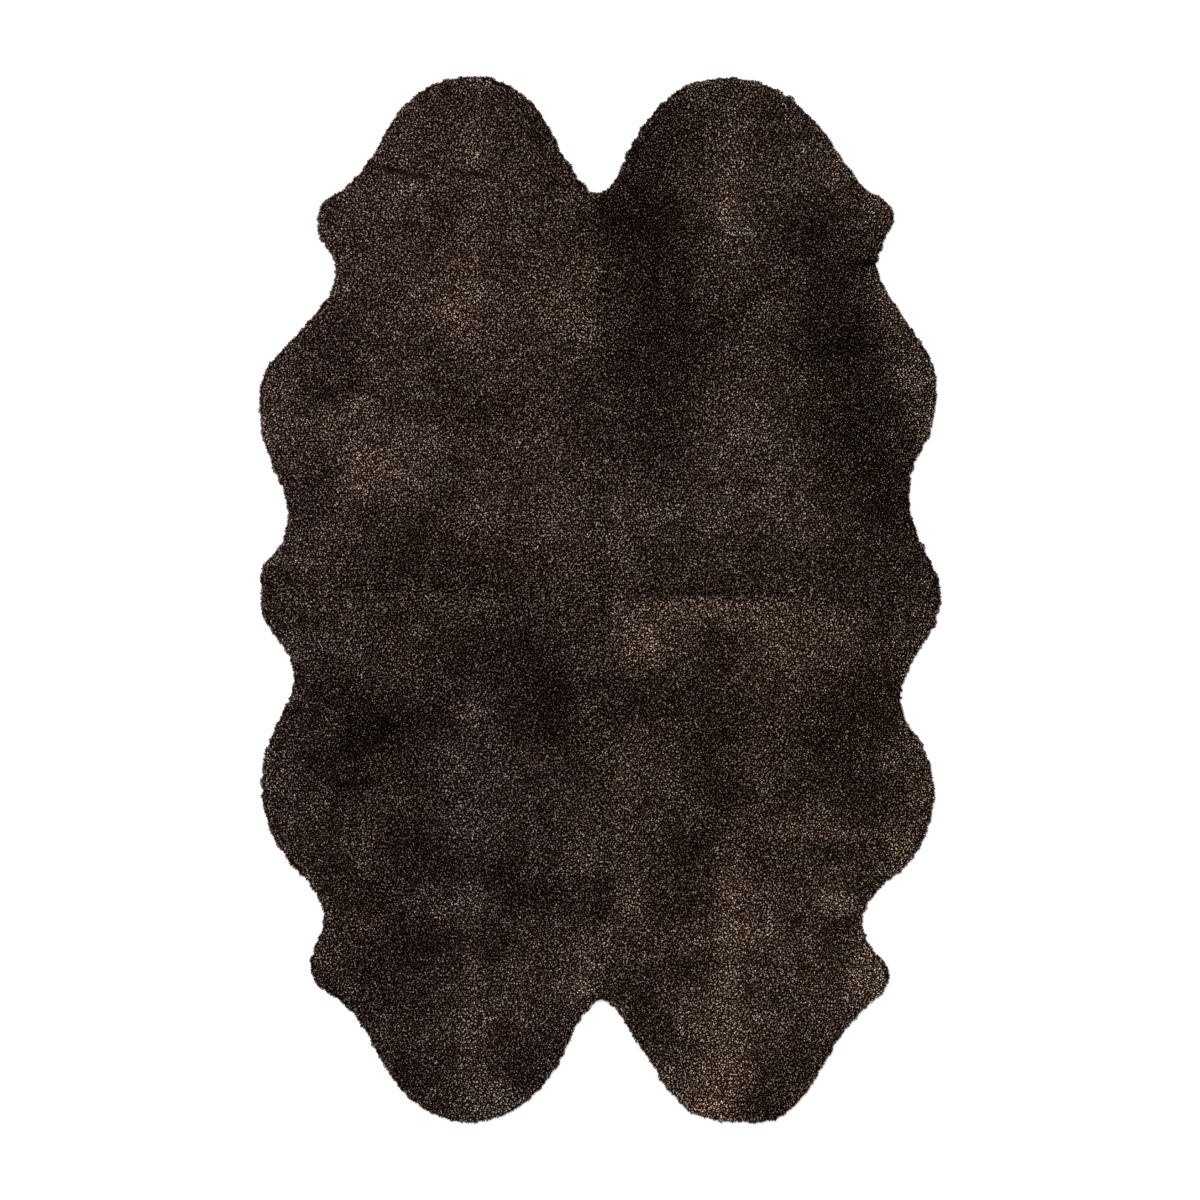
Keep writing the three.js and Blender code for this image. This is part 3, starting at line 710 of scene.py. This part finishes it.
def add_bake_map(mesh, under_points, under_faces, curls):
    """A map with the underwool from above and from below in two strips, and a cell for each curl."""
    strip = 0.05
    filled = 0.98
    low = under_points.min(0)[:2]
    high = under_points.max(0)[:2]
    flat = ((under_points[:, :2] - low) / (high - low))[:, ::-1] * [1.0, strip * filled]
    under = flat[under_faces]
    edges = under_points[under_faces]
    rise = np.cross(edges[:, 1] - edges[:, 0], edges[:, 2] - edges[:, 0])[:, 2]
    under[rise < 0] += [0, strip]
    columns = math.ceil(math.sqrt(curls))
    rows = math.ceil(curls / columns)
    cell = np.array([1.0 / columns, (1 - 2 * strip) / rows])
    number = np.arange(curls)
    corner = np.stack([number % columns, number // columns], 1) * cell + [0, 2 * strip]
    curl = corner[:, None, None, :] + curl_map()[None] * cell
    layer = mesh.uv_layers.new(name="OFBake")
    everything = np.concatenate([under.reshape(-1, 2), curl.reshape(-1, 2)])
    layer.data.foreach_set("uv", everything.astype(np.float32).ravel())


def wool_piece(node, rim, seam, solid, number):
    """All the wool of one skin as a joined mesh: felted underwool and every curl that grows on it."""
    random = np.random.default_rng(SEED + number)
    skin = SKINS[node]
    line = wool_edge(rim, seam)
    field_points, field_normals = field_places(solid, line, seam, random)
    seam_points, seam_normals = seam_places(solid, rim, seam, random)
    edge_points, edge_normals, edge_light = rim_places(line, seam, random)
    places = np.concatenate([field_points, seam_points, edge_points])
    normals = np.concatenate([field_normals, seam_normals, edge_normals])
    # Painted shade on the sunk curls along the seam
    seam_light = np.full(len(seam_points), SEAM_CURL_LIGHT)
    light = np.concatenate([np.ones(len(field_points)), seam_light, edge_light])

    _, from_seam = nearest(places, seam)
    index, from_rim = nearest(places, tree_of(line))
    is_by_seam = from_seam < from_rim + SEAM_REACH
    comb = np.where(is_by_seam, 0, EDGE_COMB * (1 - soft_step(from_rim / EDGE_COMB_REACH)))
    shade = np.where(is_by_seam, 0, EDGE_SHADE * (1 - soft_step(from_rim / EDGE_SHADE_REACH)))
    out = outward(smoothed(line, LOOP_STEP, RIM_EVENING_REACH))
    combed = np.column_stack([out[index], np.zeros(len(places))]) * comb[:, None]
    tone, warmth, pink, lift = wool_growth(places, skin, seam)
    points = curl_points(places, normals, combed, lift, random)
    light *= (1 - shade) * np.exp(random.normal(0, CURL_TONE_SPREAD, len(places)))
    light *= tone ** TONE_GREYING
    tone = tone ** (1 - TONE_GREYING)
    warmth += random.normal(0, CURL_WARMTH_SPREAD, len(places))
    pink += random.normal(0, CURL_PINK_SPREAD, len(places))

    under_points, under_faces = underwool(solid, rim, line, seam)
    under_tone, under_warmth, under_pink, _ = wool_growth(under_points, skin, seam)
    # The underwool takes the roots' brightness, near-black: partly the wool's dark roots, partly painted
    # shade in the gaps between curls
    under_light = np.full(len(under_points), ROOT_LIGHT)
    per_curl = points.shape[1]
    starts = len(under_points) + per_curl * np.arange(len(places))
    curl_faces = (CURL_FACES[None] + starts[:, None, None]).reshape(-1, 3)
    all_points = np.concatenate([under_points, points.reshape(-1, 3)])
    all_faces = np.concatenate([under_faces, curl_faces])

    mesh = bpy.data.meshes.new(node + "_wool")
    mesh.from_pydata(all_points.tolist(), [], all_faces.tolist())
    mesh.shade_smooth()
    add_values(mesh, "light", np.concatenate([under_light, np.outer(light, CURL_LIGHT).ravel()]))
    add_values(mesh, "tone", np.concatenate([under_tone, np.repeat(tone, per_curl)]))
    add_values(mesh, "warmth", np.concatenate([under_warmth, np.repeat(warmth, per_curl)]))
    add_values(mesh, "pink", np.concatenate([under_pink, np.repeat(pink, per_curl)]))
    add_bake_map(mesh, under_points, under_faces, len(places))
    return bpy.data.objects.new(node + "_wool", mesh)


def hide_piece(node, foot):
    """The tanned hide under one skin's wool, a flat sheet with the skin's outline."""
    count = len(foot)
    points = [(x, y, 0) for x, y in foot] + [(x, y, HIDE_THICKNESS) for x, y in foot]
    faces = [tuple(reversed(range(count))), tuple(range(count, 2 * count))]
    faces += [(i, (i + 1) % count, count + (i + 1) % count, count + i) for i in range(count)]
    mesh = bpy.data.meshes.new(node + "_hide")
    mesh.from_pydata(points, [], faces)
    return bpy.data.objects.new(node + "_hide", mesh)


# Materials

def new_material(name):
    material = bpy.data.materials.new(name)
    material.use_nodes = True
    return material, material.node_tree, material.node_tree.nodes["Principled BSDF"]


def attribute(tree, name):
    node = tree.nodes.new("ShaderNodeAttribute")
    node.attribute_name = name
    return node.outputs["Fac"]


def noise_node(tree, scale, detail, roughness):
    place = tree.nodes.new("ShaderNodeTexCoord")
    node = tree.nodes.new("ShaderNodeTexNoise")
    node.inputs["Scale"].default_value = scale
    node.inputs["Detail"].default_value = detail
    node.inputs["Roughness"].default_value = roughness
    tree.links.new(place.outputs["Object"], node.inputs["Vector"])
    return node.outputs["Fac"]


def spread(tree, source, low, high, to_low=0.0, to_high=1.0):
    """A value moved from one range to another and held inside it."""
    node = tree.nodes.new("ShaderNodeMapRange")
    node.inputs["From Min"].default_value = low
    node.inputs["From Max"].default_value = high
    node.inputs["To Min"].default_value = to_low
    node.inputs["To Max"].default_value = to_high
    tree.links.new(source, node.inputs["Value"])
    return node.outputs["Result"]


def ramp(tree, source, stops):
    node = tree.nodes.new("ShaderNodeValToRGB")
    elements = node.color_ramp.elements
    while len(elements) < len(stops):
        elements.new(0.5)
    for element, (place, colour) in zip(elements, stops):
        element.position = place
        element.color = (*colour, 1)
    tree.links.new(source, node.inputs["Fac"])
    return node.outputs["Color"]


def times(tree, a, b):
    node = tree.nodes.new("ShaderNodeMath")
    node.operation = "MULTIPLY"
    tree.links.new(a, node.inputs[0])
    tree.links.new(b, node.inputs[1])
    return node.outputs["Value"]


def tinted(tree, colour, tint):
    node = tree.nodes.new("ShaderNodeMix")
    node.data_type = "RGBA"
    node.blend_type = "MULTIPLY"
    node.inputs["Factor"].default_value = 1
    tree.links.new(colour, node.inputs["A"])
    tree.links.new(tint, node.inputs["B"])
    return node.outputs["Result"]


def bump(tree, height, strength, distance):
    node = tree.nodes.new("ShaderNodeBump")
    node.inputs["Strength"].default_value = strength
    node.inputs["Distance"].default_value = distance
    tree.links.new(height, node.inputs["Height"])
    return node.outputs["Normal"]


def wool_material():
    """Dark brown wool: near-black roots and paler, greyer ridges, with each curl's own tone and hue. The
    "light" values behind this are partly the wool's own darker roots and partly painted shade, with a
    painted highlight on each curl's ridge.
    """
    material, tree, shader = new_material("wool")
    fibres = noise_node(tree, scale=430, detail=2.0, roughness=0.6)
    streaks = spread(tree, fibres, low=0.33, high=0.67, to_low=0.15, to_high=1.85)
    # The "light" values carry painted shade and a painted highlight over the wool's own darker roots
    bright = times(tree, attribute(tree, "light"), streaks)
    body = ramp(tree, spread(tree, bright, low=0.0, high=BRIGHTEST), [
        (0.0, (0.0056, 0.0026, 0.0016)),
        (0.1, (0.0855, 0.0507, 0.0366)),
        (0.33, (0.257, 0.183, 0.151)),
        (1.0, (0.676, 0.595, 0.541)),
    ])
    hue = ramp(tree, spread(tree, attribute(tree, "warmth"), -HUE_RANGE, HUE_RANGE), [
        (0.0, (0.91, 1.0, 1.30)),
        (0.5, (1.0, 1.0, 1.0)),
        (1.0, (1.09, 1.0, 0.75)),
    ])
    blush = ramp(tree, spread(tree, attribute(tree, "pink"), -HUE_RANGE, HUE_RANGE), [
        (0.0, (0.92, 1.05, 0.95)),
        (1.0, (1.10, 0.95, 1.05)),
    ])
    toned = tinted(tree, tinted(tree, body, hue), blush)
    tree.links.new(tinted(tree, toned, attribute(tree, "tone")), shader.inputs["Base Color"])
    tree.links.new(bump(tree, fibres, strength=0.5, distance=0.6 * MM), shader.inputs["Normal"])
    shader.inputs["Roughness"].default_value = 0.9
    shader.inputs["Specular IOR Level"].default_value = 0.0
    return material


def hide_material():
    """Brown suede with a soft nap and uneven dye."""
    material, tree, shader = new_material("hide")
    nap = noise_node(tree, scale=1400, detail=2.0, roughness=0.7)
    blotches = noise_node(tree, scale=9, detail=5.0, roughness=0.6)
    dye = ramp(tree, blotches, [(0.3, (0.20, 0.135, 0.09)), (0.7, (0.34, 0.245, 0.17))])
    pile = ramp(tree, nap, [(0.3, (0.8, 0.8, 0.8)), (0.7, (1.15, 1.15, 1.15))])
    tree.links.new(tinted(tree, dye, pile), shader.inputs["Base Color"])
    tree.links.new(bump(tree, nap, strength=0.4, distance=0.3 * MM), shader.inputs["Normal"])
    shader.inputs["Roughness"].default_value = 0.95
    shader.inputs["Sheen Weight"].default_value = 0.3
    return material


def floor_material():
    """Matt white studio floor."""
    material, tree, shader = new_material("studio_floor")
    haze = noise_node(tree, scale=40, detail=2.0, roughness=0.5)
    tone = ramp(tree, haze, [(0.0, (0.93, 0.93, 0.93)), (1.0, (0.96, 0.96, 0.96))])
    tree.links.new(tone, shader.inputs["Base Color"])
    shader.inputs["Roughness"].default_value = 0.9
    shader.inputs["Specular IOR Level"].default_value = 0.1
    return material


# Studio

def add_to_scene(thing):
    bpy.context.scene.collection.objects.link(thing)
    return thing


def add_floor():
    corners = [(x * FLOOR_HALF, y * FLOOR_HALF, 0) for x, y in ((-1, -1), (1, -1), (1, 1), (-1, 1))]
    mesh = bpy.data.meshes.new("studio_floor")
    mesh.from_pydata(corners, [], [(0, 1, 2, 3)])
    mesh.materials.append(floor_material())
    add_to_scene(bpy.data.objects.new("studio_floor", mesh))


def add_lights():
    scene = bpy.context.scene
    scene.view_settings.view_transform = "Standard"
    scene.view_settings.look = "None"
    scene.world = scene.world or bpy.data.worlds.new("studio_light")
    scene.world.use_nodes = True
    dome = scene.world.node_tree.nodes["Background"]
    dome.inputs["Color"].default_value = (1, 1, 1, 1)
    dome.inputs["Strength"].default_value = DOME_STRENGTH

    key = bpy.data.lights.new("key_light", "AREA")
    key.shape = "DISK"
    key.size = KEY_SIZE
    key.energy = KEY_POWER
    lamp = add_to_scene(bpy.data.objects.new("key_light", key))
    lamp.location = KEY_PLACE
    lamp.rotation_euler = (-lamp.location).to_track_quat("-Z", "Y").to_euler()


def add_camera():
    across = PICTURE_PIXELS * MM_PER_PIXEL * MM
    data = bpy.data.cameras.new("camera")
    data.sensor_width = SENSOR_WIDTH
    data.lens = SENSOR_WIDTH * (CAMERA_HEIGHT - RIM_HEIGHT) / across
    eye = add_to_scene(bpy.data.objects.new("camera", data))
    eye.location = (CAMERA_ACROSS, 0, CAMERA_HEIGHT)
    bpy.context.scene.camera = eye


# Build

add_camera()
add_floor()
add_lights()
wool = wool_material()
suede = hide_material()
solids = {node: welded(node) for node in SKINS}
rims = {node: resampled(level_loop(solid, RIM_HEIGHT), LOOP_STEP) for node, solid in solids.items()}

for number, (node, solid) in enumerate(solids.items()):
    seam = tree_of(np.concatenate([rims[other] for other in SKINS if other != node]))
    foot = level_loop(solid, 0)
    fleece = add_to_scene(wool_piece(node, rims[node], seam, solid, number))
    fleece.data.materials.append(wool)
    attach(fleece, "root")
    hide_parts(node)

    hide = add_to_scene(hide_piece(node, foot))
    hide.data.materials.append(suede)
    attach(hide, "root")
